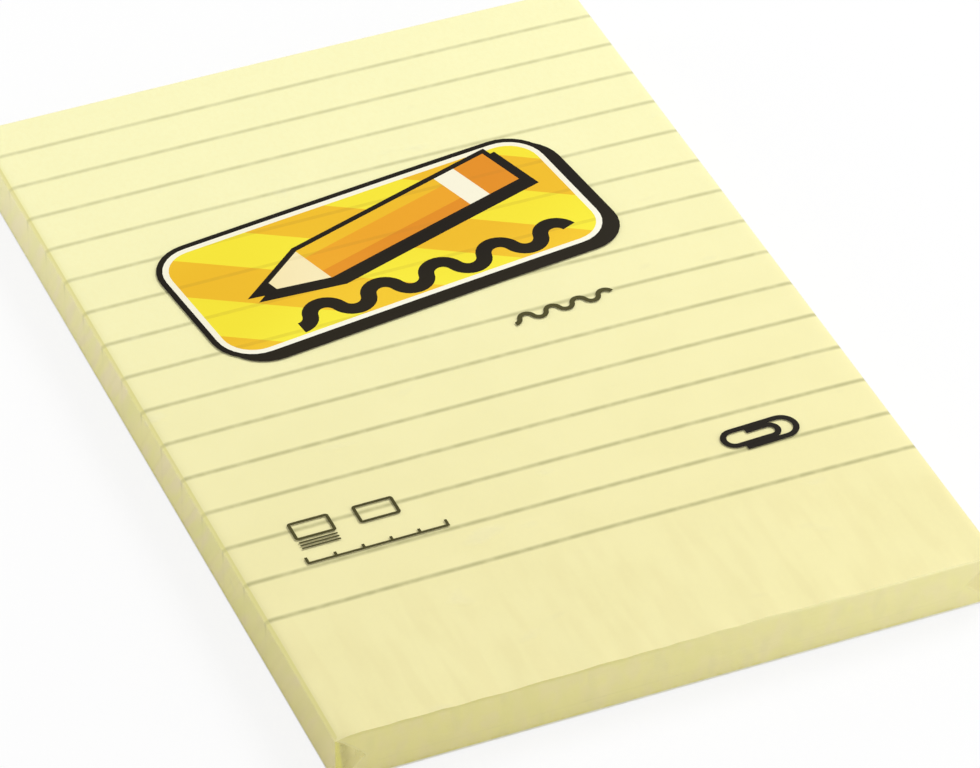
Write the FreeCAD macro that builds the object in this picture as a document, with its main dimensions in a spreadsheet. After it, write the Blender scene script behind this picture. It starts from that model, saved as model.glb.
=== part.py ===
import FreeCAD, Part
import os
import Sketcher

# A pad of ruled sticky notes in its clear film, in millimetres.
# X runs across the pad, Y along it with the notes' gummed end at -Y, and Z is up from the table.
# The origin is the middle of the film's flat underside.

SIZES = {
    "sheet_width": 102,
    "sheet_length": 152,
    "sheet_gauge": 0.088,
    "sheet_count": 100,
    "sheet_edge_bevel": 0.025,
    "gum_depth": 20,
    "gum_gauge": 0.04,
    "backing_gauge": 0.25,
    "film_gauge": 0.05,
    "film_clearance": 0.05,
    "lap_width": 14,
    "tail_length": 6.4,
}

# Heights above the table. The backing lies on the film's tucked-in lap, which lies on its floor.
TABLE = "0"
FILM_FLOOR = "Sizes.film_gauge"
BACKING_UNDERSIDE = "(Sizes.film_gauge * 2)"
STACK_UNDERSIDE = f"({BACKING_UNDERSIDE} + Sizes.backing_gauge)"
FILM_CEILING = f"({STACK_UNDERSIDE} + Sizes.sheet_gauge * Sizes.sheet_count + Sizes.film_clearance)"
FILM_TOP = f"({FILM_CEILING} + Sizes.film_gauge)"

# Half sizes seen from above: the paper, then the inner and outer faces of the film's sleeve.
HALF_WIDTH = "(Sizes.sheet_width / 2)"
HALF_LENGTH = "(Sizes.sheet_length / 2)"
SLEEVE_INNER_X = f"({HALF_WIDTH} + Sizes.film_clearance)"
SLEEVE_OUTER_X = f"({SLEEVE_INNER_X} + Sizes.film_gauge)"
SLEEVE_INNER_Y = f"({HALF_LENGTH} + Sizes.film_clearance)"

# At each end the side tucks lie under the top flap, and the top flap's edge under the bottom flap.
TUCK_Y = f"({SLEEVE_INNER_Y} + Sizes.film_gauge)"
TOP_FLAP_Y = f"({SLEEVE_INNER_Y} + Sizes.film_gauge * 2)"
BOTTOM_FLAP_Y = f"({SLEEVE_INNER_Y} + Sizes.film_gauge * 3)"
TOP_FLAP_EDGE = f"({FILM_TOP} - Sizes.tail_length)"
BOTTOM_FLAP_EDGE = "Sizes.tail_length"
FLAP_EDGE_X = f"({SLEEVE_OUTER_X} - Sizes.tail_length)"

# An edge that rises by less than this lies level.
LEVEL_TOLERANCE = 1e-6


def new_document():
    document = FreeCAD.newDocument("StickyNotePad")
    sheet = document.addObject("Spreadsheet::Sheet", "Sizes")
    for row, (alias, value) in enumerate(SIZES.items(), start=1):
        sheet.set(f"A{row}", alias)
        sheet.set(f"B{row}", str(value))
        sheet.setAlias(f"B{row}", alias)
    document.recompute()
    return document


def new_body(document, name):
    body = document.addObject("PartDesign::Body", name)
    body.Label = name
    return body


def origin_feature(body, role):
    return next(feature for feature in body.Origin.OriginFeatures if feature.Role == role)


def sketch_on(body, role, name, offset):
    """A sketch on one of the body's origin planes, moved along its normal by an expression."""
    sketch = body.newObject("Sketcher::SketchObject", name)
    sketch.AttachmentSupport = [(origin_feature(body, role), "")]
    sketch.MapMode = "FlatFace"
    sketch.setExpression(".AttachmentOffset.Base.z", offset)
    return sketch


def add_outline(sketch, corners):
    """A closed outline of straight lines, each corner held by two expressions from the sketch's origin."""
    points = []
    for across, up in corners:
        points.append(FreeCAD.Vector(sketch.evalExpression(across), sketch.evalExpression(up), 0))
    first = sketch.GeometryCount
    count = len(corners)
    for i in range(count):
        sketch.addGeometry(Part.LineSegment(points[i], points[(i + 1) % count]), False)
    for i in range(count):
        line = first + i
        sketch.addConstraint(Sketcher.Constraint("Coincident", line, 2, first + (i + 1) % count, 1))
        across = sketch.addConstraint(Sketcher.Constraint("DistanceX", -1, 1, line, 1, points[i].x))
        sketch.setExpression(f"Constraints[{across}]", corners[i][0])
        up = sketch.addConstraint(Sketcher.Constraint("DistanceY", -1, 1, line, 1, points[i].y))
        sketch.setExpression(f"Constraints[{up}]", corners[i][1])


def add_rectangle(sketch, left, right, bottom, top):
    add_outline(sketch, [(left, bottom), (right, bottom), (right, top), (left, top)])


def add_pad(body, sketch, name, length):
    pad = body.newObject("PartDesign::Pad", name)
    pad.Profile = sketch
    pad.setExpression("Length", length)
    return pad


def level_edges(shape):
    """The names of the edges that lie level: the outlines of a sheet's two faces."""
    names = []
    for number, edge in enumerate(shape.Edges, start=1):
        if edge.BoundBox.ZLength < LEVEL_TOLERANCE:
            names.append(f"Edge{number}")
    return names


def note_sheets(document):
    """All the notes as one block: bevelled sheets stacked so that a fine groove shows between their edges."""
    body = new_body(document, "note_sheets")
    outline = sketch_on(body, "XY_Plane", "SheetOutline", STACK_UNDERSIDE)
    add_rectangle(outline, f"-{HALF_WIDTH}", HALF_WIDTH, f"-{HALF_LENGTH}", HALF_LENGTH)
    one_sheet = add_pad(body, outline, "OneSheet", "Sizes.sheet_gauge")
    document.recompute()

    cut_edges = body.newObject("PartDesign::Chamfer", "CutEdges")
    cut_edges.Base = (one_sheet, level_edges(one_sheet.Shape))
    cut_edges.setExpression("Size", "Sizes.sheet_edge_bevel")
    document.recompute()

    stack = body.newObject("PartDesign::LinearPattern", "Stack")
    stack.TransformMode = "Whole shape"
    stack.Direction = (origin_feature(body, "Z_Axis"), [""])
    stack.Mode = "Spacing"
    stack.setExpression("Offset", "Sizes.sheet_gauge")
    stack.setExpression("Occurrences", "Sizes.sheet_count")
    body.Tip = stack
    document.recompute()

    gum_outline = sketch_on(body, "XY_Plane", "GumOutline", STACK_UNDERSIDE)
    add_rectangle(gum_outline, f"-{HALF_WIDTH}", HALF_WIDTH, f"-{HALF_LENGTH}", f"Sizes.gum_depth - {HALF_LENGTH}")
    recess = body.newObject("PartDesign::Pocket", "GumRecess")
    recess.Profile = gum_outline
    recess.Reversed = True
    recess.setExpression("Length", "Sizes.gum_gauge")
    return body


def slab(document, name, gauge, depth, underside):
    """A flat layer across the whole width, reaching in from the gummed end by its depth."""
    box = document.addObject("Part::Box", name)
    box.Label = name
    box.setExpression("Length", "Sizes.sheet_width")
    box.setExpression("Width", depth)
    box.setExpression("Height", gauge)
    box.setExpression("Placement.Base.x", f"-{HALF_WIDTH}")
    box.setExpression("Placement.Base.y", f"-{HALF_LENGTH}")
    box.setExpression("Placement.Base.z", underside)
    return box


def adhesive_strip(document):
    """The lowest note's strip of gum, let into the block so that the sheets still lie on the backing."""
    return slab(document, "adhesive_strip", "Sizes.gum_gauge", "Sizes.gum_depth", STACK_UNDERSIDE)


def backing_sheet(document):
    """The card under the notes, cut to their size."""
    return slab(document, "backing_sheet", "Sizes.backing_gauge", "Sizes.sheet_length", BACKING_UNDERSIDE)


def film_wrap(document):
    """One sheet of film: a sleeve with a lap seam under the backing, and both ends folded shut."""
    body = new_body(document, "film_wrap")

    sleeve_section = sketch_on(body, "XZ_Plane", "SleeveSection", "0 mm")
    add_rectangle(sleeve_section, f"-{SLEEVE_OUTER_X}", SLEEVE_OUTER_X, TABLE, FILM_TOP)
    add_rectangle(sleeve_section, f"-{SLEEVE_INNER_X}", SLEEVE_INNER_X, FILM_FLOOR, FILM_CEILING)
    sleeve = add_pad(body, sleeve_section, "Sleeve", f"2 * {TUCK_Y}")
    sleeve.SideType = "Symmetric"

    lap_outline = sketch_on(body, "XY_Plane", "LapOutline", FILM_FLOOR)
    add_rectangle(lap_outline, "-Sizes.lap_width / 2", "Sizes.lap_width / 2", f"-{TUCK_Y}", TUCK_Y)
    add_pad(body, lap_outline, "LapSeam", "Sizes.film_gauge")

    tuck_outline = sketch_on(body, "XZ_Plane", "TuckOutline", SLEEVE_INNER_Y)
    add_rectangle(tuck_outline, f"-{SLEEVE_OUTER_X}", f"-{FLAP_EDGE_X}", TABLE, FILM_TOP)
    add_rectangle(tuck_outline, FLAP_EDGE_X, SLEEVE_OUTER_X, TABLE, FILM_TOP)
    tucks = add_pad(body, tuck_outline, "SideTucks", "Sizes.film_gauge")

    top_outline = sketch_on(body, "XZ_Plane", "TopFlapOutline", TUCK_Y)
    top_corners = [(f"-{SLEEVE_OUTER_X}", FILM_TOP), (f"-{FLAP_EDGE_X}", TOP_FLAP_EDGE)]
    top_corners += [(FLAP_EDGE_X, TOP_FLAP_EDGE), (SLEEVE_OUTER_X, FILM_TOP)]
    add_outline(top_outline, top_corners)
    top_flap = add_pad(body, top_outline, "TopFlap", "Sizes.film_gauge")

    fold_section = sketch_on(body, "XY_Plane", "BottomFlapFold", "0 mm")
    add_rectangle(fold_section, f"-{SLEEVE_OUTER_X}", SLEEVE_OUTER_X, f"-{TOP_FLAP_Y}", f"-{TUCK_Y}")
    edge_section = sketch_on(body, "XY_Plane", "BottomFlapEdge", BOTTOM_FLAP_EDGE)
    add_rectangle(edge_section, f"-{FLAP_EDGE_X}", FLAP_EDGE_X, f"-{BOTTOM_FLAP_Y}", f"-{TUCK_Y}")
    bottom_flap = body.newObject("PartDesign::AdditiveLoft", "BottomFlap")
    bottom_flap.Profile = fold_section
    bottom_flap.Sections = [(edge_section, [""])]
    bottom_flap.Ruled = True

    far_end = body.newObject("PartDesign::Mirrored", "FarEnd")
    far_end.Originals = [tucks, top_flap, bottom_flap]
    far_end.MirrorPlane = (origin_feature(body, "XZ_Plane"), [""])
    body.Tip = far_end
    return body


def check_and_export(document, parts):
    for thing in document.Objects:
        if "Invalid" in thing.State or "Error" in thing.State:
            raise RuntimeError(f"{thing.Name} did not compute: {thing.State}")
    for part in parts:
        if part.Shape.isNull() or not part.Shape.isValid() or len(part.Shape.Solids) != 1:
            raise RuntimeError(f"{part.Label} is not one valid solid")
    os.makedirs("parts", exist_ok=True)
    for part in parts:
        part.Shape.exportStep(f"parts/{part.Label}.step")


pad = new_document()
nodes = [note_sheets(pad), adhesive_strip(pad), backing_sheet(pad), film_wrap(pad)]
pad.recompute()
check_and_export(pad, nodes)
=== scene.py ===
import bmesh
import bpy
import math
import random
from mathutils import Matrix, Vector


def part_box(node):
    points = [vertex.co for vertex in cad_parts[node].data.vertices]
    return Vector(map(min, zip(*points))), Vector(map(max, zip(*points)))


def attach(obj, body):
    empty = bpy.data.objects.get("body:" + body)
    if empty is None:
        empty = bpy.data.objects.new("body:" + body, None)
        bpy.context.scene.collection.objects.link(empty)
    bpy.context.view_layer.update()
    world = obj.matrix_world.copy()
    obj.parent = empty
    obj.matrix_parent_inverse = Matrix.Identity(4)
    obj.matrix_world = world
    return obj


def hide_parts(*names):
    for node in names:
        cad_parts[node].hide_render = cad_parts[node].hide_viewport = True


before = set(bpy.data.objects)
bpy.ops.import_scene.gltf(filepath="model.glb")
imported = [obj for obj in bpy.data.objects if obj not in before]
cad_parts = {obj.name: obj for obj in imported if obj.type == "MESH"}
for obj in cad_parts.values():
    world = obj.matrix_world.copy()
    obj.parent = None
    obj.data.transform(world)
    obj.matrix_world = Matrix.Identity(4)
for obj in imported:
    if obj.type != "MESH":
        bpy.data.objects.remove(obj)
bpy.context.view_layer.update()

MM = 0.001

# The block of notes and the film round it, measured off the frame. The pad's middle is at X = 0, Y = 0.
sheets_low, sheets_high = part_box("note_sheets")
film_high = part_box("film_wrap")[1]
HALF_WIDTH = sheets_high[0]
HALF_LENGTH = sheets_high[1]
STACK_BASE = sheets_low[2]
STACK_HEIGHT = sheets_high[2] - sheets_low[2]

# A ridge to each cut sheet, and how far a sheet may slip, as a share of the ridge.
SHEET_COUNT = 100
SHEET_RIDGE = 0.02 * MM
SHEET_SLIP = 0.2

# The ruling, from the gummed end: a blank header, then evenly spaced lines.
HEADER_MARGIN = 26.45 * MM
LINE_PITCH = 8.41 * MM
LINE_COUNT = 15
LINE_WIDTH = 0.74 * MM
LINE_SOFTNESS = 0.36 * MM

# How the wrapped pad differs from a true block. The film holds the long edges down, so the top is bowed
# a little, more so on the right, and its long rims roll over.
BOW_AT_ENDS = 0.20 * MM
BOW_IN_MIDDLE = 0.36 * MM
BOW_LEAN = 0.35
ROLL_DEPTH_LEFT = 0.36 * MM
ROLL_DEPTH_RIGHT = 0.1 * MM
ROLL_REACH = 1.1 * MM

# The gummed end is cockled: two long waves, the second weaker and slanting, and a short frill at the edge
# whose waves crowd and spread.
COCKLE_DEPTH = 0.11 * MM
COCKLE_REACH = 24 * MM
FIRST_WAVE = 9.5 * MM
SECOND_WAVE = 4.6 * MM
SECOND_WAVE_SHARE = 0.7
SECOND_WAVE_SLANT = 9 * MM
FRILL_DEPTH = 0.09 * MM
FRILL_REACH = 6 * MM
FRILL_WAVE = 1.15 * MM
FRILL_CROWDING = 1.8
FRILL_CROWDING_WAVE = 6 * MM

# Where the shading of the cockles starts, and the band of stronger yellow along the left rim.
RIPPLE_START = 32 * MM - HALF_LENGTH
RIPPLE_FADE = 16 * MM
RIM_BAND = 1.3 * MM

# How far the blade's marks on a cut edge lean along it for each unit of height.
BLADE_LEAN = 0.7

# The film's own sizes. Each layer folded over an end stands proud of the one under it by a step.
FILM_EDGE_RADIUS = 0.2 * MM
FILM_STAND_OFF = 0.2 * MM
FLAP_DROP = 6.4 * MM
CREASE_WIDTH = 0.3 * MM
LAP_WIDTH = 14 * MM
FOLD_STEP = 0.04 * MM
SLEEVE_END = film_high[1] - 2 * FOLD_STEP
INK_STEP = 0.005 * MM
INK_LAYERS = 6

# How finely the top is cut up, and the highest level of the film, with room left for the ink on it.
GRID_STEP = 2 * MM
FILM_TOP = film_high[2] - INK_STEP * INK_LAYERS


def cockle(x, y):
    """The ripple of the gummed end: long waves that die away from the edge, and a short frill along it."""
    from_edge = y + HALF_LENGTH
    first = math.sin(x / FIRST_WAVE + 0.6)
    second = math.sin(x / SECOND_WAVE - y / SECOND_WAVE_SLANT + 2.1)
    long_wave = (first + SECOND_WAVE_SHARE * second) / (1 + SECOND_WAVE_SHARE)
    frill = math.sin(x / FRILL_WAVE + FRILL_CROWDING * math.sin(x / FRILL_CROWDING_WAVE))
    long_fade = math.exp(-((from_edge / COCKLE_REACH) ** 2))
    frill_fade = math.exp(-((from_edge / FRILL_REACH) ** 2))
    return COCKLE_DEPTH * long_fade * long_wave + FRILL_DEPTH * frill_fade * frill


def sag(x, y):
    """How far the top lies below the highest level that the bow and the cockles can reach."""
    across = x / HALF_WIDTH
    along = y / HALF_LENGTH
    bow = BOW_AT_ENDS + (BOW_IN_MIDDLE - BOW_AT_ENDS) * (1 - along * along)
    crown = (1 - across * across) * (1 + BOW_LEAN * across)
    highest = BOW_IN_MIDDLE * (1 + BOW_LEAN * BOW_LEAN / 4) + COCKLE_DEPTH
    from_rim = min(max((HALF_WIDTH - abs(x)) / ROLL_REACH, 0), 1)
    roll = ROLL_DEPTH_LEFT if x < 0 else ROLL_DEPTH_RIGHT
    return highest - bow * crown - cockle(x, y) + roll * (1 - from_rim) ** 2


def film_height(x, y):
    return FILM_TOP - sag(x, y)


def paper_height(x, y):
    return film_height(x, y) - FILM_STAND_OFF


def new_piece(name, bm, materials):
    """A mesh object of the pad from a bmesh, riding on the pad's only body."""
    mesh = bpy.data.meshes.new(name)
    bm.to_mesh(mesh)
    bm.free()
    piece = bpy.data.objects.new(name, mesh)
    bpy.context.scene.collection.objects.link(piece)
    for material in materials:
        mesh.materials.append(material)
    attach(piece, "root")
    return piece


def stretch_up(bm, base, height, surface):
    """Warps a block built to its nominal height so that its top follows a surface."""
    for vert in bm.verts:
        share = (vert.co.z - base) / height
        vert.co.z = base + share * (surface(vert.co.x, vert.co.y) - base)


# Node helpers.


def add_node(tree, kind, **settings):
    node = tree.nodes.new(kind)
    for name, value in settings.items():
        setattr(node, name, value)
    return node


def wire(tree, source, target):
    tree.links.new(source, target)


def math_node(tree, operation, first, second=None):
    node = add_node(tree, "ShaderNodeMath", operation=operation)
    for index, value in enumerate((first, second)):
        if value is None:
            continue
        if isinstance(value, (int, float)):
            node.inputs[index].default_value = value
        else:
            wire(tree, value, node.inputs[index])
    return node.outputs[0]


def mix_colour(tree, factor, first, second, blend="MIX"):
    node = add_node(tree, "ShaderNodeMix", data_type="RGBA", blend_type=blend)
    for socket, value in ((node.inputs[0], factor), (node.inputs[6], first), (node.inputs[7], second)):
        if isinstance(value, (int, float, tuple)):
            socket.default_value = value
        else:
            wire(tree, value, socket)
    return node.outputs[2]


def ease(tree, value, start, end, low=0.0, high=1.0):
    """A value eased from low to high as it passes from start to end."""
    node = add_node(tree, "ShaderNodeMapRange", interpolation_type="SMOOTHSTEP")
    wire(tree, value, node.inputs["Value"])
    node.inputs["From Min"].default_value = start
    node.inputs["From Max"].default_value = end
    node.inputs["To Min"].default_value = low
    node.inputs["To Max"].default_value = high
    return node.outputs["Result"]


def stretched_noise(tree, coordinates, scale, detail=3.0, roughness=0.5):
    """Noise whose grain differs along X, Y and Z, in features a metre."""
    mapping = add_node(tree, "ShaderNodeMapping")
    mapping.inputs["Scale"].default_value = scale
    wire(tree, coordinates, mapping.inputs["Vector"])
    noise = add_node(tree, "ShaderNodeTexNoise")
    noise.inputs["Scale"].default_value = 1.0
    noise.inputs["Detail"].default_value = detail
    noise.inputs["Roughness"].default_value = roughness
    wire(tree, mapping.outputs["Vector"], noise.inputs["Vector"])
    return noise.outputs["Fac"]


def srgb(red, green, blue):
    """A colour written as screen values from 0 to 255."""
    linear = []
    for value in (red, green, blue):
        share = value / 255
        linear.append(share / 12.92 if share <= 0.04045 else ((share + 0.055) / 1.055) ** 2.4)
    return (linear[0], linear[1], linear[2], 1.0)


def new_material(name):
    material = bpy.data.materials.new(name)
    material.use_nodes = True
    tree = material.node_tree
    shader = tree.nodes["Principled BSDF"]
    coordinates = add_node(tree, "ShaderNodeTexCoord").outputs["Object"]
    return material, tree, shader, coordinates


def add_bump(tree, shader, height, strength, distance):
    bump = add_node(tree, "ShaderNodeBump")
    bump.inputs["Strength"].default_value = strength
    bump.inputs["Distance"].default_value = distance
    wire(tree, height, bump.inputs["Height"])
    wire(tree, bump.outputs["Normal"], shader.inputs["Normal"])


def make_ruling_group():
    """Group: the mask of the printed lines at a point of the pad, with a little unevenness in the ink."""
    group = bpy.data.node_groups.new("ruling", "ShaderNodeTree")
    group.interface.new_socket("Coordinates", in_out="INPUT", socket_type="NodeSocketVector")
    group.interface.new_socket("Softness", in_out="INPUT", socket_type="NodeSocketFloat")
    group.interface.new_socket("Line", in_out="OUTPUT", socket_type="NodeSocketFloat")
    entry = add_node(group, "NodeGroupInput")
    leave = add_node(group, "NodeGroupOutput")
    split = add_node(group, "ShaderNodeSeparateXYZ")
    wire(group, entry.outputs["Coordinates"], split.inputs[0])
    from_first = math_node(group, "SUBTRACT", split.outputs["Y"], HEADER_MARGIN - HALF_LENGTH)
    pitches = math_node(group, "DIVIDE", from_first, LINE_PITCH)
    nearest = math_node(group, "ROUND", pitches)
    off_line = math_node(group, "ABSOLUTE", math_node(group, "SUBTRACT", pitches, nearest))
    distance = math_node(group, "MULTIPLY", off_line, LINE_PITCH)
    outer = math_node(group, "ADD", entry.outputs["Softness"], LINE_WIDTH / 2)
    inner = math_node(group, "SUBTRACT", LINE_WIDTH / 2, entry.outputs["Softness"])
    edge = math_node(group, "DIVIDE", math_node(group, "SUBTRACT", outer, distance),
                     math_node(group, "SUBTRACT", outer, inner))
    line = ease(group, edge, 0, 1)
    not_header = math_node(group, "GREATER_THAN", nearest, -0.5)
    not_foot = math_node(group, "LESS_THAN", nearest, LINE_COUNT - 0.5)
    line = math_node(group, "MULTIPLY", line, math_node(group, "MULTIPLY", not_header, not_foot))
    patchy = stretched_noise(group, entry.outputs["Coordinates"], (420, 420, 420))
    density = ease(group, patchy, 0.3, 0.6, 0.72, 1)
    wire(group, math_node(group, "MULTIPLY", line, density), leave.inputs["Line"])
    return group


def ruling_line(tree, coordinates, group, softness):
    node = add_node(tree, "ShaderNodeGroup", node_tree=group)
    node.inputs["Softness"].default_value = softness
    wire(tree, coordinates, node.inputs["Coordinates"])
    return node.outputs["Line"]


def note_face_material(ruling):
    """Uncoated yellow paper, darker and a little warmer towards the gummed end in painted shade, painted
    shade over the cockles there, and the printed lines.
    """
    material, tree, shader, coordinates = new_material("note_face_paper")
    split = add_node(tree, "ShaderNodeSeparateXYZ")
    wire(tree, coordinates, split.inputs[0])
    cloud = stretched_noise(tree, coordinates, (90, 90, 90), detail=2)
    fibre = stretched_noise(tree, coordinates, (1500, 900, 1500), detail=4, roughness=0.6)
    # Painted shade: the top grows darker and warmer towards the gummed end, where less light falls on it.
    tone = mix_colour(tree, ease(tree, split.outputs["Y"], -HALF_LENGTH, HALF_LENGTH),
                      srgb(233, 224, 163), srgb(241, 238, 183))
    tone = mix_colour(tree, ease(tree, cloud, 0.35, 0.65, 0, 0.1), tone, srgb(252, 246, 192))
    tone = mix_colour(tree, ease(tree, fibre, 0.35, 0.75, 0, 0.3), tone, srgb(238, 230, 166))
    # Painted shade over the cockles of the gummed end.
    ripple = stretched_noise(tree, coordinates, (460, 80, 80), detail=1)
    gummed = ease(tree, split.outputs["Y"], RIPPLE_START, RIPPLE_START - RIPPLE_FADE)
    shade = math_node(tree, "MULTIPLY", gummed, ease(tree, ripple, 0.4, 0.68, 0, 0.26))
    tone = mix_colour(tree, shade, tone, srgb(226, 214, 152))
    far = ease(tree, split.outputs["Y"], -20 * MM, 60 * MM, 0.1, 0.55)
    by_rim = ease(tree, split.outputs["X"], RIM_BAND - HALF_WIDTH, -HALF_WIDTH)
    tone = mix_colour(tree, math_node(tree, "MULTIPLY", by_rim, far), tone, srgb(238, 232, 146))
    line = ruling_line(tree, coordinates, ruling, LINE_SOFTNESS)
    # Painted sheen: the lines are printed weaker towards the far end, where the film's reflection washes
    # over them.
    strength = ease(tree, split.outputs["Y"], -HALF_LENGTH, HALF_LENGTH, 0.76, 0.49)
    ink = math_node(tree, "MULTIPLY", line, strength)
    wire(tree, mix_colour(tree, ink, tone, srgb(160, 156, 98)), shader.inputs["Base Color"])
    shader.inputs["Roughness"].default_value = 0.72
    add_bump(tree, shader, fibre, 0.25, 0.02 * MM)
    return material


def note_edge_material(ruling):
    """The cut edges: a tone to each sheet, marks that lean with the blade's stroke, and the lines' ends.

    The foot is darker and speckled. The long edges have a yellower rim, painted shade on the rolled strip
    of the left rim, and painted light that grows away from the gummed end, with painted shade towards it.
    The gummed end has painted shade on the left and painted light on the right, strongest in the band under
    its top.
    """
    material, tree, shader, coordinates = new_material("note_cut_edges")
    split = add_node(tree, "ShaderNodeSeparateXYZ")
    wire(tree, coordinates, split.inputs[0])
    level = split.outputs["Z"]
    top = STACK_BASE + STACK_HEIGHT
    leaning = add_node(tree, "ShaderNodeCombineXYZ")
    wire(tree, split.outputs["X"], leaning.inputs["X"])
    lean = math_node(tree, "MULTIPLY", level, BLADE_LEAN)
    wire(tree, math_node(tree, "ADD", split.outputs["Y"], lean), leaning.inputs["Y"])
    wire(tree, level, leaning.inputs["Z"])
    marks = leaning.outputs["Vector"]
    long_edge = ease(tree, split.outputs["Y"], -HALF_LENGTH + 0.1 * MM, -HALF_LENGTH + 0.3 * MM)

    sheets = stretched_noise(tree, coordinates, (35, 35, 9000), detail=1)
    blade = stretched_noise(tree, marks, (420, 600, 9), detail=4, roughness=0.65)
    warm = stretched_noise(tree, marks, (470, 330, 85), detail=2)
    green = stretched_noise(tree, marks, (330, 240, 70), detail=1)
    tone = mix_colour(tree, ease(tree, sheets, 0.35, 0.65), srgb(232, 224, 154), srgb(235, 227, 159))
    blotches = ease(tree, long_edge, 0, 1, 0.75, 1)
    warmth = math_node(tree, "MULTIPLY", ease(tree, warm, 0.38, 0.64, 0, 0.75), blotches)
    greenness = math_node(tree, "MULTIPLY", ease(tree, green, 0.42, 0.66, 0, 0.55), blotches)
    tone = mix_colour(tree, warmth, tone, srgb(232, 219, 178))
    tone = mix_colour(tree, greenness, tone, srgb(228, 224, 144))
    tone = mix_colour(tree, ease(tree, blade, 0.45, 0.75, 0, 0.25), tone, srgb(216, 206, 140))

    speckle = stretched_noise(tree, coordinates, (900, 900, 500), detail=2)
    foot = mix_colour(tree, ease(tree, speckle, 0.46, 0.56), srgb(220, 212, 148), srgb(204, 194, 84))
    tone = mix_colour(tree, ease(tree, level, STACK_BASE + 0.7 * MM, STACK_BASE, 0, 0.7), tone, foot)
    # Painted light and shade: the long edges are paler towards the far end and darker towards the gummed
    # end.
    painted_light_far = ease(tree, split.outputs["Y"], -10 * MM, HALF_LENGTH, 0, 0.45)
    tone = mix_colour(tree, math_node(tree, "MULTIPLY", painted_light_far, long_edge), tone, srgb(236, 230, 190))
    painted_shade_near = ease(tree, split.outputs["Y"], -20 * MM, -HALF_LENGTH, 0, 0.5)
    tone = mix_colour(tree, math_node(tree, "MULTIPLY", painted_shade_near, long_edge), tone, srgb(228, 215, 152))
    # Painted light and shade on the end faces: darker to the left, paler to the right, where the light
    # falls.
    across = mix_colour(tree, ease(tree, split.outputs["X"], -HALF_WIDTH, HALF_WIDTH),
                        srgb(223, 213, 137), srgb(234, 227, 167))
    tone = mix_colour(tree, ease(tree, long_edge, 1, 0, 0, 0.45), tone, across)
    # Painted shade and highlight along the top of each end: dark olive in shade on the left, pale on the
    # right where the film's edge catches the light.
    end_rim_shade_and_light = mix_colour(tree, ease(tree, split.outputs["X"], -20 * MM, 48 * MM),
                         srgb(214, 206, 130), srgb(252, 246, 194))
    rim = mix_colour(tree, long_edge, end_rim_shade_and_light, srgb(238, 232, 146))
    tone = mix_colour(tree, ease(tree, level, top - RIM_BAND, top - 0.5 * MM, 0, 0.8), tone, rim)
    # Painted shade on the rolled strip of the left rim, which turns away from the light.
    roll_shade_start = ease(tree, split.outputs["X"], 0.05 * MM - HALF_WIDTH, 0.35 * MM - HALF_WIDTH, 0, 0.35)
    roll_end = ease(tree, split.outputs["X"], 2 * MM - HALF_WIDTH, ROLL_REACH - HALF_WIDTH)
    rolled = math_node(tree, "MULTIPLY", math_node(tree, "MULTIPLY", roll_shade_start, roll_end), long_edge)
    tone = mix_colour(tree, rolled, tone, srgb(212, 204, 128))
    fade = ease(tree, level, top - 3.5 * MM, top, 0.04, 0.4)
    line_end = math_node(tree, "MULTIPLY", ruling_line(tree, coordinates, ruling, 0.2 * MM), fade)
    wire(tree, mix_colour(tree, line_end, tone, srgb(168, 164, 108)), shader.inputs["Base Color"])
    shader.inputs["Roughness"].default_value = 0.8
    add_bump(tree, shader, blade, 0.3, 0.05 * MM)
    return material


def gum_material():
    material, tree, shader, coordinates = new_material("note_gum_strip")
    beads = stretched_noise(tree, coordinates, (2600, 2600, 2600), detail=2)
    wire(tree, mix_colour(tree, ease(tree, beads, 0.4, 0.6), srgb(226, 222, 196), srgb(240, 237, 216)),
         shader.inputs["Base Color"])
    shader.inputs["Roughness"].default_value = 0.35
    add_bump(tree, shader, beads, 0.4, 0.02 * MM)
    return material


def backing_material():
    """Smooth white card, release coated, so a little glossier than the notes."""
    material, tree, shader, coordinates = new_material("backing_card")
    fibre = stretched_noise(tree, coordinates, (1200, 800, 1200), detail=4, roughness=0.6)
    cloud = stretched_noise(tree, coordinates, (70, 70, 70), detail=2)
    tone = mix_colour(tree, ease(tree, cloud, 0.35, 0.65), srgb(233, 231, 218), srgb(239, 237, 226))
    wire(tree, mix_colour(tree, ease(tree, fibre, 0.4, 0.7, 0, 0.4), tone, srgb(224, 221, 205)),
         shader.inputs["Base Color"])
    shader.inputs["Roughness"].default_value = 0.5
    add_bump(tree, shader, fibre, 0.2, 0.02 * MM)
    return material


def film_material(name, haze, streak_highlight, tint, grain=(110, 190, 150), rarity=0.7):
    """Clear glossy film, seen as a faint haze that stands partly for its reflection and thickens into
    painted highlights along drawn-out streaks.
    """
    material, tree, shader, coordinates = new_material(name)
    drawn = stretched_noise(tree, coordinates, grain, detail=1)
    # Painted reflection: the haze stands partly for the film's reflection, and the streaks are painted
    # highlights of its wrinkles.
    wire(tree, ease(tree, drawn, rarity, rarity + 0.15, haze, streak_highlight), shader.inputs["Alpha"])
    shader.inputs["Base Color"].default_value = tint
    shader.inputs["Roughness"].default_value = 0.16
    return material


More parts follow.
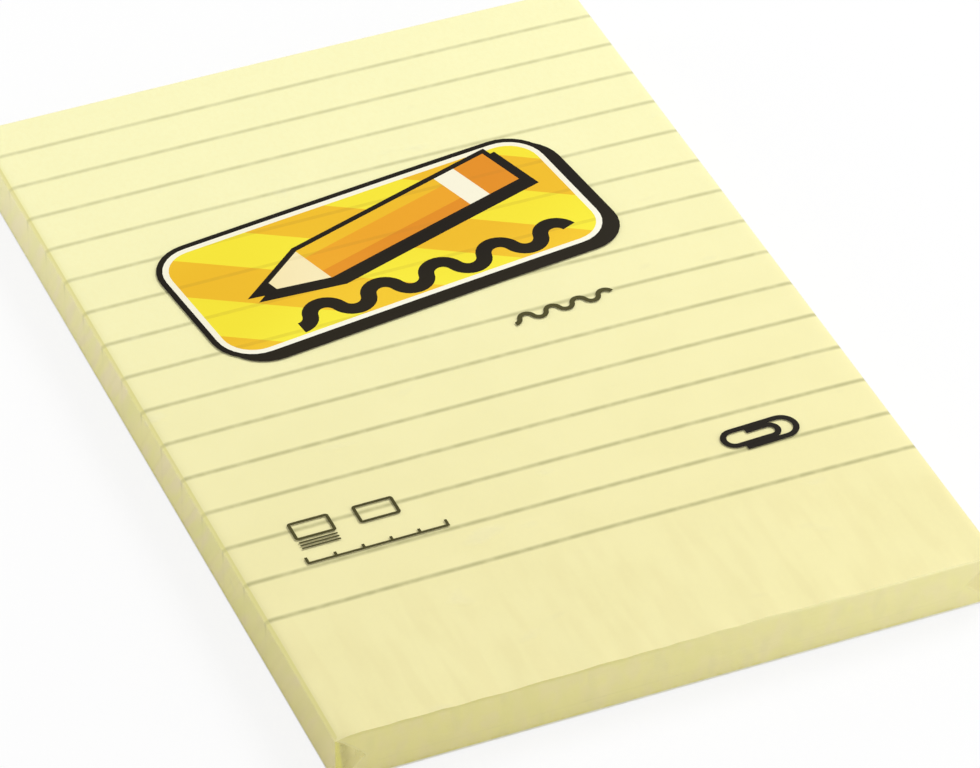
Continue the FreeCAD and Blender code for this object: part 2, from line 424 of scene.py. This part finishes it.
def film_tuck_material():
    """The gusset beside a corner: a painted bright strip where the fold catches the light, then a hollow in
    painted shade, both fainter on the right.
    """
    material, tree, shader, coordinates = new_material("film_tuck")
    split = add_node(tree, "ShaderNodeSeparateXYZ")
    wire(tree, coordinates, split.inputs[0])
    from_side = math_node(tree, "SUBTRACT", film_high[0], math_node(tree, "ABSOLUTE", split.outputs["X"]))
    spread = math_node(tree, "MULTIPLY", math_node(tree, "SUBTRACT", film_high[2], split.outputs["Z"]), 0.1)
    place = math_node(tree, "SUBTRACT", from_side, spread)
    # Painted shade in the hollow, fainter on the right, where the light falls into it.
    hollow = math_node(tree, "MULTIPLY", ease(tree, place, 0.2 * MM, 0.8 * MM),
                       ease(tree, place, 2.6 * MM, 1.1 * MM))
    hollow = math_node(tree, "MULTIPLY", hollow, ease(tree, split.outputs["X"], 0, 2 * MM, 0.62, 0.1))
    # Painted highlight: a bright strip beside the corner's edge, where the fold catches the light.
    tone = mix_colour(tree, ease(tree, place, 0.8 * MM, 0.3 * MM), srgb(240, 232, 168), srgb(242, 238, 128))
    wire(tree, mix_colour(tree, hollow, tone, srgb(180, 171, 92)), shader.inputs["Base Color"])
    drawn = stretched_noise(tree, coordinates, (260, 260, 140), detail=2)
    side = ease(tree, split.outputs["X"], 0, 2 * MM, 1, 0.4)
    haze = math_node(tree, "MULTIPLY", ease(tree, drawn, 0.3, 0.7, 0.3, 0.6), side)
    wire(tree, haze, shader.inputs["Alpha"])
    shader.inputs["Roughness"].default_value = 0.2
    return material


def ink_material(name, light, dark, ruling, show_through=0.0):
    """Ink on the film: a soft blend of two tones, with the lines below showing through a little."""
    material, tree, shader, coordinates = new_material(name)
    blend = stretched_noise(tree, coordinates, (26, 26, 26), detail=1)
    grain = stretched_noise(tree, coordinates, (3000, 3000, 3000), detail=2)
    tone = mix_colour(tree, ease(tree, blend, 0.38, 0.62), light, dark)
    tone = mix_colour(tree, ease(tree, grain, 0.4, 0.7, 0, 0.12), tone, dark)
    line = math_node(tree, "MULTIPLY", ruling_line(tree, coordinates, ruling, 0.12 * MM), show_through)
    wire(tree, mix_colour(tree, line, tone, srgb(150, 110, 40)), shader.inputs["Base Color"])
    shader.inputs["Roughness"].default_value = 0.4
    shader.inputs["Specular IOR Level"].default_value = 0.1
    return material


def note_block(face, edges):
    """The stack of notes: a grid for the top sheet, whose rim is drawn down one ridge to a sheet."""
    bm = bmesh.new()
    columns = round(2 * HALF_WIDTH / GRID_STEP)
    rows = round(2 * HALF_LENGTH / GRID_STEP)
    place = Matrix.Translation((0, 0, STACK_BASE + STACK_HEIGHT))
    size = Matrix.Diagonal((2 * HALF_WIDTH, 2 * HALF_LENGTH, 1, 1))
    bmesh.ops.create_grid(bm, x_segments=columns, y_segments=rows, size=0.5, matrix=place @ size)
    sheet_faces = set(bm.faces)
    rings = [
        bmesh.ops.inset_region(bm, faces=list(sheet_faces), thickness=ROLL_REACH / 2, use_even_offset=True,
                               use_boundary=True)["faces"]
        for _ in range(2)
    ]
    sheet_faces.update(rings[1])
    rim = [edge for edge in bm.edges if edge.is_boundary]
    for edge in rim:
        edge.smooth = False
    chance = random.Random(7)
    half_sheet = Vector((0, 0, -STACK_HEIGHT / SHEET_COUNT / 2))
    for half in range(2 * SHEET_COUNT):
        drawn = bmesh.ops.extrude_edge_only(bm, edges=rim)["geom"]
        rim = [item for item in drawn if isinstance(item, bmesh.types.BMEdge)]
        verts = [item for item in drawn if isinstance(item, bmesh.types.BMVert)]
        outward = 1 if half % 2 == 0 else -1
        shift = SHEET_RIDGE * (outward + chance.uniform(-SHEET_SLIP, SHEET_SLIP))
        spread = Matrix.Diagonal((1 + shift / HALF_WIDTH / 2, 1 + shift / HALF_LENGTH / 2, 1, 1))
        bmesh.ops.transform(bm, matrix=spread, verts=verts)
        bmesh.ops.translate(bm, vec=half_sheet, verts=verts)
    sheet_faces.update(bmesh.ops.edgeloop_fill(bm, edges=rim)["faces"])
    for rim_face in rings[0]:
        if rim_face.calc_center_median().x > ROLL_REACH / 2 - HALF_WIDTH:
            sheet_faces.add(rim_face)
    for block_face in bm.faces:
        block_face.smooth = block_face in sheet_faces or block_face in rings[0]
        block_face.material_index = 0 if block_face in sheet_faces else 1
    stretch_up(bm, STACK_BASE, STACK_HEIGHT, paper_height)
    bmesh.ops.recalc_face_normals(bm, faces=bm.faces)
    block = new_piece("note_block", bm, [face, edges])
    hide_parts("note_sheets")
    return block


def cut_all(bm, place, normal):
    geometry = list(bm.verts) + list(bm.edges) + list(bm.faces)
    bmesh.ops.bisect_plane(bm, geom=geometry, dist=1e-7, plane_co=normal * place, plane_no=normal)


def cut_into_grid(bm, step):
    """Cuts the mesh in even steps both ways, and along the rolled rims, so that it can follow the top."""
    for axis, normal in enumerate((Vector((1, 0, 0)), Vector((0, 1, 0)))):
        lowest = min(vert.co[axis] for vert in bm.verts)
        highest = max(vert.co[axis] for vert in bm.verts)
        cut = math.floor(lowest / step) + 1
        while cut * step < highest:
            cut_all(bm, cut * step, normal)
            cut += 1
    for place in (HALF_WIDTH - ROLL_REACH, HALF_WIDTH - ROLL_REACH / 2):
        for side in (-1, 1):
            cut_all(bm, side * place, Vector((1, 0, 0)))


def cut_faces(bm, faces, point, normal):
    """Cuts only the given faces along a plane and returns them with the new ones."""
    geometry = set(faces)
    for face in faces:
        geometry.update(face.verts)
        geometry.update(face.edges)
    cut = bmesh.ops.bisect_plane(bm, geom=list(geometry), dist=1e-7, plane_co=point, plane_no=normal)
    return [item for item in cut["geom"] if isinstance(item, bmesh.types.BMFace)]


def film_sleeve(bm):
    """The film round the block, with softly rounded edges."""
    size = Vector((film_high[0] * 2, SLEEVE_END * 2, film_high[2]))
    made = bmesh.ops.create_cube(bm, size=1.0)
    bmesh.ops.scale(bm, vec=size, verts=made["verts"])
    bmesh.ops.translate(bm, vec=(0, 0, film_high[2] / 2), verts=made["verts"])
    bmesh.ops.bevel(bm, geom=list(bm.edges), offset=FILM_EDGE_RADIUS, offset_type="OFFSET", segments=3,
                    profile=0.5, material=-1, affect="EDGES", clamp_overlap=True)
    cut_into_grid(bm, GRID_STEP)


def mark_lap(bm):
    """Marks the strip along the underside where the film laps over itself, and the cut edge of the lap."""
    below = [face for face in bm.faces if face.normal.z < -0.99]
    for place in (-LAP_WIDTH / 2, LAP_WIDTH / 2 - CREASE_WIDTH, LAP_WIDTH / 2):
        below = cut_faces(bm, below, Vector((place, 0, 0)), Vector((1, 0, 0)))
    for face in below:
        across = face.calc_center_median().x
        if abs(across) < LAP_WIDTH / 2:
            face.material_index = 1 if across < LAP_WIDTH / 2 - CREASE_WIDTH else 2


def end_faces(bm, end):
    return [face for face in bm.faces if face.normal.y * end > 0.9]


def inside_flap(point, from_top, margin):
    """Whether a point of an end lies in its top or bottom flap, less a margin along the flap's sides."""
    depth = film_high[2] - point.z if from_top else point.z
    side_room = film_high[0] - abs(point.x) - depth
    return depth < FLAP_DROP - margin and side_room > margin


def fold_end(bm, end):
    """Marks out both flaps on an end of the sleeve and raises them, the bottom one over the top one."""
    for from_top in (True, False):
        fold = film_high[2] if from_top else 0.0
        down = -1 if from_top else 1
        for margin in (0.0, CREASE_WIDTH):
            faces = cut_faces(bm, end_faces(bm, end), Vector((0, 0, fold + down * (FLAP_DROP - margin))),
                              Vector((0, 0, 1)))
            for side in (-1, 1):
                corner = Vector((side * (film_high[0] - margin * math.sqrt(2)), 0, fold))
                faces = cut_faces(bm, faces, corner, Vector((side, 0, down)).normalized())
    for from_top in (True, False):
        flap = [face for face in end_faces(bm, end) if inside_flap(face.calc_center_median(), from_top, 0)]
        raised = bmesh.ops.extrude_face_region(bm, geom=flap)["geom"]
        verts = [item for item in raised if isinstance(item, bmesh.types.BMVert)]
        bmesh.ops.delete(bm, geom=flap, context="FACES_ONLY")
        bmesh.ops.translate(bm, vec=(0, end * FOLD_STEP, 0), verts=verts)
        bm.normal_update()
    for face in end_faces(bm, end):
        place = face.calc_center_median()
        if inside_flap(place, True, CREASE_WIDTH) or inside_flap(place, False, CREASE_WIDTH):
            face.material_index = 1
        elif inside_flap(place, True, 0) or inside_flap(place, False, 0):
            face.material_index = 2
        else:
            face.material_index = 3


def film_piece(clear, flap, crease, tuck):
    """The whole film as one closed skin: the sleeve, and both ends folded shut."""
    bm = bmesh.new()
    film_sleeve(bm)
    mark_lap(bm)
    for end in (-1, 1):
        fold_end(bm, end)
    stretch_up(bm, 0.0, film_high[2], film_height)
    bmesh.ops.recalc_face_normals(bm, faces=bm.faces)
    for film_face in bm.faces:
        film_face.smooth = abs(film_face.normal.y) < 0.9
    film = new_piece("film_sleeve", bm, [clear, flap, crease, tuck])
    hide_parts("film_wrap")
    return film


# The print on the film. Shapes are drawn flat at the origin, laid in place, and then draped on the film.
INK_BLACK, INK_WHITE, INK_YELLOW, INK_AMBER, INK_ORANGE, INK_RUST, INK_CREAM, INK_GREY = range(8)
PATCH_PLACE = Vector((-3, 24, 0)) * MM
PATCH_TILT = math.radians(7)
PATCH_HALF_WIDTH = 34 * MM
PATCH_HALF_HEIGHT = 15.2 * MM
PATCH_ROUNDING = 7 * MM
RIM_WIDTH = 0.95 * MM
SHADOW_SHIFT = Vector((1.3, -1.4, 0)) * MM
STRIPE_PITCH = 17 * MM
STRIPE_TILT = math.radians(52)
PENCIL_PLACE = Vector((-27, 19.5, 0)) * MM
PENCIL_TILT = math.radians(18.5)
PENCIL_LENGTH = 52 * MM
PENCIL_WIDTH = 10.5 * MM
PENCIL_POINT = 13 * MM
LEAD_LENGTH = 0.38 * PENCIL_POINT
ERASER_LENGTH = 7 * MM
FERRULE_LENGTH = 4 * MM
SCRIBBLE_PLACE = Vector((-22, 9.9, 0)) * MM
SCRIBBLE_WIDTH = 2.5 * MM
SCRIBBLE_RADIUS = 2.6 * MM
FLOURISH_PLACE = Vector((8, -1.6, 0)) * MM
FLOURISH_TILT = math.radians(4)
FLOURISH_WIDTH = 0.8 * MM
FLOURISH_RADIUS = 1.15 * MM
WAVE_SWING = math.radians(75)
CLIP_PLACE = Vector((28, -41, 0)) * MM
CLIP_TILT = math.radians(3)
CLIP_WIRE = 0.95 * MM
PAD_PLACE = Vector((-37.5, -33.2, 0)) * MM
SHEET_PLACE = Vector((-27.5, -33.2, 0)) * MM
OUTLINE_WIDTH = 0.5 * MM
PAD_LINE_STEP = Vector((0, -0.65, 0)) * MM
BAR_PLACE = Vector((-41, -40.4, 0)) * MM
BAR_LENGTH = 22 * MM
BAR_WIDTH = 0.45 * MM
TICK_PITCH = 4.32 * MM
TICK_WIDTH = 0.44 * MM


def spot(place, tilt):
    return Matrix.Translation(place) @ Matrix.Rotation(tilt, 4, "Z")


def lay(bm, faces, place, layer, ink=None):
    """Puts faces drawn at the origin in their place and on their layer of ink."""
    verts = list({vert for face in faces for vert in face.verts})
    bmesh.ops.transform(bm, matrix=Matrix.Translation((0, 0, layer * INK_STEP)) @ place, verts=verts)
    if ink is not None:
        for face in faces:
            face.material_index = ink


def rounded_block(bm, half_width, half_height, rounding):
    """A flat rectangle with round corners."""
    known = set(bm.faces)
    made = bmesh.ops.create_grid(bm, x_segments=1, y_segments=1, size=1.0)
    bmesh.ops.scale(bm, vec=(half_width, half_height, 1), verts=made["verts"])
    bmesh.ops.bevel(bm, geom=made["verts"], offset=rounding, offset_type="OFFSET", segments=8, profile=0.5,
                    material=-1, affect="VERTICES")
    return [face for face in bm.faces if face not in known]


def edged(bm, faces, width, ink):
    """Draws a border inside a shape's outline and returns the border and what it encloses."""
    border = bmesh.ops.inset_individual(bm, faces=faces, thickness=width, use_even_offset=True)["faces"]
    for face in border:
        face.material_index = ink
    return border, faces


def cut_across(bm, faces, distance, tilt=0.0):
    """Cuts flat shapes along a line at a distance from the origin, square to a direction."""
    normal = Vector((math.cos(tilt), math.sin(tilt), 0))
    return cut_faces(bm, faces, normal * distance, normal)


def print_patch(bm):
    """The large patch: a black outline with a black shadow, a white rim, and stripes."""
    place = spot(PATCH_PLACE, PATCH_TILT)
    shadow = rounded_block(bm, PATCH_HALF_WIDTH, PATCH_HALF_HEIGHT, PATCH_ROUNDING)
    lay(bm, shadow, spot(PATCH_PLACE + SHADOW_SHIFT, PATCH_TILT), 0, INK_BLACK)
    patch = rounded_block(bm, PATCH_HALF_WIDTH, PATCH_HALF_HEIGHT, PATCH_ROUNDING)
    outline, field = edged(bm, patch, RIM_WIDTH, INK_BLACK)
    rim, field = edged(bm, field, RIM_WIDTH, INK_WHITE)
    normal = Vector((math.cos(STRIPE_TILT), math.sin(STRIPE_TILT), 0))
    for step in range(-3, 4):
        field = cut_across(bm, field, step * STRIPE_PITCH / 2, STRIPE_TILT)
    for face in field:
        stripe = math.floor(face.calc_center_median().dot(normal) / (STRIPE_PITCH / 2))
        face.material_index = INK_YELLOW if stripe % 2 else INK_AMBER
    lay(bm, outline + rim + field, place, 1)


def pencil_shape(bm):
    half = PENCIL_WIDTH / 2
    below = ((0, 0), (PENCIL_POINT, -half), (PENCIL_LENGTH, -half))
    above = ((PENCIL_LENGTH, half), (PENCIL_POINT, half))
    verts = [bm.verts.new((x, y, 0)) for x, y in below + above]
    return bmesh.ops.contextual_create(bm, geom=verts)["faces"]


def print_pencil(bm):
    """A stout pencil with a black outline and shadow: lead, wood, three facets, ferrule and eraser."""
    lay(bm, pencil_shape(bm), spot(PENCIL_PLACE + SHADOW_SHIFT, PENCIL_TILT), 2, INK_BLACK)
    outline, body = edged(bm, pencil_shape(bm), RIM_WIDTH, INK_BLACK)
    eraser = PENCIL_LENGTH - ERASER_LENGTH
    ferrule = eraser - FERRULE_LENGTH
    facet = 0.2 * PENCIL_WIDTH
    for distance in (LEAD_LENGTH, PENCIL_POINT, ferrule, eraser):
        body = cut_across(bm, body, distance)
    for distance in (-facet, facet):
        body = cut_across(bm, body, distance, math.pi / 2)
    for face in body:
        along, across, _ = face.calc_center_median()
        if along < LEAD_LENGTH:
            face.material_index = INK_BLACK
        elif along < PENCIL_POINT:
            face.material_index = INK_CREAM
        elif along > eraser:
            face.material_index = INK_RUST
        elif along > ferrule:
            face.material_index = INK_WHITE
        elif across < -facet:
            face.material_index = INK_RUST
        elif across < facet:
            face.material_index = INK_ORANGE
        else:
            face.material_index = INK_AMBER
    lay(bm, outline + body, spot(PENCIL_PLACE, PENCIL_TILT), 3)


class Pen:
    """Draws a band of ink from the origin along +X with straight runs and round bends."""

    def __init__(self, bm, width):
        self.bm = bm
        self.known = set(bm.faces)
        self.heading = 0.0
        ends = [bm.verts.new((0, side * width / 2, 0)) for side in (-1, 1)]
        self.nib = bmesh.ops.contextual_create(bm, geom=ends)["edges"]

    def run(self, length):
        drawn = bmesh.ops.extrude_edge_only(self.bm, edges=self.nib)["geom"]
        edges = [item for item in drawn if isinstance(item, bmesh.types.BMEdge)]
        verts = [item for item in drawn if isinstance(item, bmesh.types.BMVert)]
        step = Vector((math.cos(self.heading), math.sin(self.heading), 0)) * length
        bmesh.ops.translate(self.bm, vec=step, verts=verts)
        # Of the edges that the extrusion returns, the nib is the one across the run.
        self.nib = [edge for edge in edges if all(vert in verts for vert in edge.verts)]

    def bend(self, radius, turn):
        side = 1 if turn > 0 else -1
        middle = sum((vert.co for vert in self.nib[0].verts), Vector()) / 2
        left = Vector((-math.sin(self.heading), math.cos(self.heading), 0))
        made = bmesh.ops.spin(self.bm, geom=self.nib, cent=middle + left * side * radius, axis=(0, 0, 1),
                              angle=turn, steps=max(3, round(abs(turn) * 5)), use_merge=False)
        self.nib = [item for item in made["geom_last"] if isinstance(item, bmesh.types.BMEdge)]
        self.heading += turn

    def faces(self):
        return [face for face in self.bm.faces if face not in self.known]


def wave(bm, width, radius, bends):
    """A wavy band that runs along +X."""
    pen = Pen(bm, width)
    pen.bend(radius, WAVE_SWING)
    for count in range(bends):
        pen.bend(radius, -2 * WAVE_SWING if count % 2 == 0 else 2 * WAVE_SWING)
    return pen.faces()


def print_scribble(bm):
    """The pencil's bold scribble across the foot of the patch."""
    scribble = wave(bm, SCRIBBLE_WIDTH, SCRIBBLE_RADIUS, 9)
    lay(bm, scribble, spot(SCRIBBLE_PLACE, PATCH_TILT), 2, INK_BLACK)


def print_flourish(bm):
    flourish = wave(bm, FLOURISH_WIDTH, FLOURISH_RADIUS, 7)
    lay(bm, flourish, spot(FLOURISH_PLACE, FLOURISH_TILT), 0, INK_GREY)


def print_clip(bm):
    """A paper clip: each straight run of wire ends in a half turn tighter than the one before."""
    clip = Pen(bm, CLIP_WIRE)
    for run, radius in ((6.8, 2.15), (7.6, 1.7), (5.6, 1.25)):
        clip.run(run * MM)
        clip.bend(radius * MM, math.pi)
    clip.run(3.4 * MM)
    lay(bm, clip.faces(), spot(CLIP_PLACE, CLIP_TILT), 0, INK_BLACK)


def print_pad_and_sheet(bm):
    """Two small outlines, a pad with three sheets' edges below it and a single sheet."""
    for place, edges in ((PAD_PLACE, 3), (SHEET_PLACE, 0)):
        half_width = 3.2 * MM
        half_height = 2 * MM
        outline = rounded_block(bm, half_width, half_height, OUTLINE_WIDTH)
        ring, inside = edged(bm, outline, OUTLINE_WIDTH, INK_GREY)
        bmesh.ops.delete(bm, geom=inside, context="FACES_ONLY")
        lay(bm, ring, spot(place, 0), 0)
        first = place - Vector((0, half_height + 0.6 * MM, 0))
        for count in range(edges):
            edge = rounded_block(bm, 3 * MM, 0.16 * MM, 0.1 * MM)
            lay(bm, edge, spot(first + PAD_LINE_STEP * count, 0), 0, INK_GREY)


def print_scale_bar(bm):
    """A plain scale bar without figures, with a longer tick at each end."""
    bar = Pen(bm, BAR_WIDTH)
    bar.run(BAR_LENGTH)
    lay(bm, bar.faces(), spot(BAR_PLACE, 0), 0, INK_GREY)
    for count in range(6):
        height = 1.1 * MM if count % 5 == 0 else 0.7 * MM
        tick = rounded_block(bm, TICK_WIDTH / 2, height / 2, 0.05 * MM)
        place = BAR_PLACE + Vector((0.2 * MM + count * TICK_PITCH, 0.2 * MM + height / 2, 0))
        lay(bm, tick, spot(place, 0), 0, INK_GREY)


def film_print(inks):
    """All the ink, draped on the film. Each overprint lies one step above what it covers."""
    bm = bmesh.new()
    print_patch(bm)
    print_pencil(bm)
    print_scribble(bm)
    print_flourish(bm)
    print_clip(bm)
    print_pad_and_sheet(bm)
    print_scale_bar(bm)
    cut_into_grid(bm, GRID_STEP)
    bmesh.ops.recalc_face_normals(bm, faces=bm.faces)
    downward = [face for face in bm.faces if face.normal.z < 0]
    bmesh.ops.reverse_faces(bm, faces=downward)
    for vert in bm.verts:
        vert.co.z += film_height(vert.co.x, vert.co.y) + INK_STEP
    ink = new_piece("film_print", bm, inks)
    return ink


# The camera stands where the photograph was taken from, fitted to the pad's edges and its ruled lines.
CAMERA_PLACE = Vector((-257.6, -604.9, 532.0)) * MM
CAMERA_AIM = Vector((-1.13, -13.14, 9.0)) * MM
CAMERA_ROLL = math.radians(0.647)
CAMERA_LENS = 205.85
SENSOR_WIDTH = 36

# The world's light on the pad, where 1 is the white that the camera sees behind it.
WORLD_LEVEL = 0.52
FLOOR_TONE = 0.86
FLOOR_GLOW = 0.85


def set_camera():
    data = bpy.data.cameras.new("camera")
    data.sensor_fit = "HORIZONTAL"
    data.sensor_width = SENSOR_WIDTH
    data.lens = CAMERA_LENS
    data.clip_start = 0.01
    data.clip_end = 20
    camera = bpy.data.objects.new("camera", data)
    turn = (CAMERA_AIM - CAMERA_PLACE).to_track_quat("-Z", "Y").to_matrix().to_4x4()
    roll = Matrix.Rotation(CAMERA_ROLL, 4, "Z")
    camera.matrix_world = Matrix.Translation(CAMERA_PLACE) @ turn @ roll
    bpy.context.scene.collection.objects.link(camera)
    bpy.context.scene.camera = camera


def area_lamp(name, place, aim, size, power):
    data = bpy.data.lights.new(name, "AREA")
    data.shape = "DISK"
    data.size = size
    data.energy = power
    lamp = bpy.data.objects.new(name, data)
    turn = (Vector(aim) - Vector(place)).to_track_quat("-Z", "Y").to_matrix().to_4x4()
    lamp.matrix_world = Matrix.Translation(place) @ turn
    bpy.context.scene.collection.objects.link(lamp)


def set_light():
    """A pale studio: a large key lamp behind on the right, and two weak fills for the sides in shade."""
    world = bpy.data.worlds.new("studio")
    bpy.context.scene.world = world
    world.use_nodes = True
    tree = world.node_tree
    background = tree.nodes["Background"]
    rays = add_node(tree, "ShaderNodeLightPath")
    level = math_node(tree, "MAXIMUM", rays.outputs["Is Camera Ray"], WORLD_LEVEL)
    wire(tree, level, background.inputs["Strength"])
    background.inputs["Color"].default_value = (1, 1, 1, 1)
    area_lamp("key", place=(0.84, 0.42, 1.05), aim=(0, 0, 0), size=0.7, power=12.2)
    area_lamp("near_fill", place=(0.36, -0.33, 0.13), aim=(0.05, -0.08, 0), size=0.3, power=0.95)
    area_lamp("left_fill", place=(-0.3, 0.25, 0.08), aim=(-0.05, 0.07, 0), size=0.2, power=0.44)


def set_floor():
    """A white floor that keeps the pad's soft shadow."""
    bm = bmesh.new()
    bmesh.ops.create_grid(bm, x_segments=1, y_segments=1, size=3.0)
    bmesh.ops.translate(bm, vec=(0, 0, -0.3 * MM), verts=bm.verts)
    mesh = bpy.data.meshes.new("floor")
    bm.to_mesh(mesh)
    bm.free()
    floor = bpy.data.objects.new("floor", mesh)
    bpy.context.scene.collection.objects.link(floor)
    material, tree, shader, _ = new_material("floor_white")
    shader.inputs["Base Color"].default_value = (FLOOR_TONE, FLOOR_TONE, FLOOR_TONE, 1)
    shader.inputs["Roughness"].default_value = 0.9
    glow = add_node(tree, "ShaderNodeEmission")
    rays = add_node(tree, "ShaderNodeLightPath")
    blend = add_node(tree, "ShaderNodeMixShader")
    wire(tree, math_node(tree, "MULTIPLY", rays.outputs["Is Camera Ray"], FLOOR_GLOW), blend.inputs[0])
    wire(tree, shader.outputs[0], blend.inputs[1])
    wire(tree, glow.outputs[0], blend.inputs[2])
    wire(tree, blend.outputs[0], tree.nodes["Material Output"].inputs["Surface"])
    mesh.materials.append(material)


ruling = make_ruling_group()
note_block(note_face_material(ruling), note_edge_material(ruling))
film_piece(
    film_material("film_clear", 0.03, 0.13, srgb(250, 249, 236)),
    film_material("film_flap", 0.04, 0.08, srgb(248, 245, 212), grain=(290, 290, 140), rarity=0.56),
    film_material("film_crease", 0.12, 0.2, srgb(252, 249, 214)),
    film_tuck_material(),
)
film_print((
    ink_material("ink_black", srgb(34, 28, 14), srgb(24, 18, 8), ruling),
    ink_material("ink_white", srgb(244, 241, 222), srgb(240, 235, 210), ruling),
    ink_material("ink_yellow", srgb(241, 229, 58), srgb(238, 221, 50), ruling, 0.18),
    ink_material("ink_amber", srgb(238, 196, 44), srgb(232, 182, 36), ruling, 0.18),
    ink_material("ink_orange", srgb(234, 168, 40), srgb(230, 160, 34), ruling, 0.15),
    ink_material("ink_rust", srgb(226, 146, 34), srgb(220, 138, 30), ruling, 0.1),
    ink_material("ink_cream", srgb(243, 231, 186), srgb(239, 222, 170), ruling, 0.1),
    ink_material("ink_grey", srgb(78, 74, 38), srgb(66, 62, 30), ruling),
))
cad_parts["adhesive_strip"].material_slots[0].material = gum_material()
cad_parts["backing_sheet"].material_slots[0].material = backing_material()

set_camera()
set_light()
set_floor()
bpy.context.scene.view_settings.view_transform = "Standard"
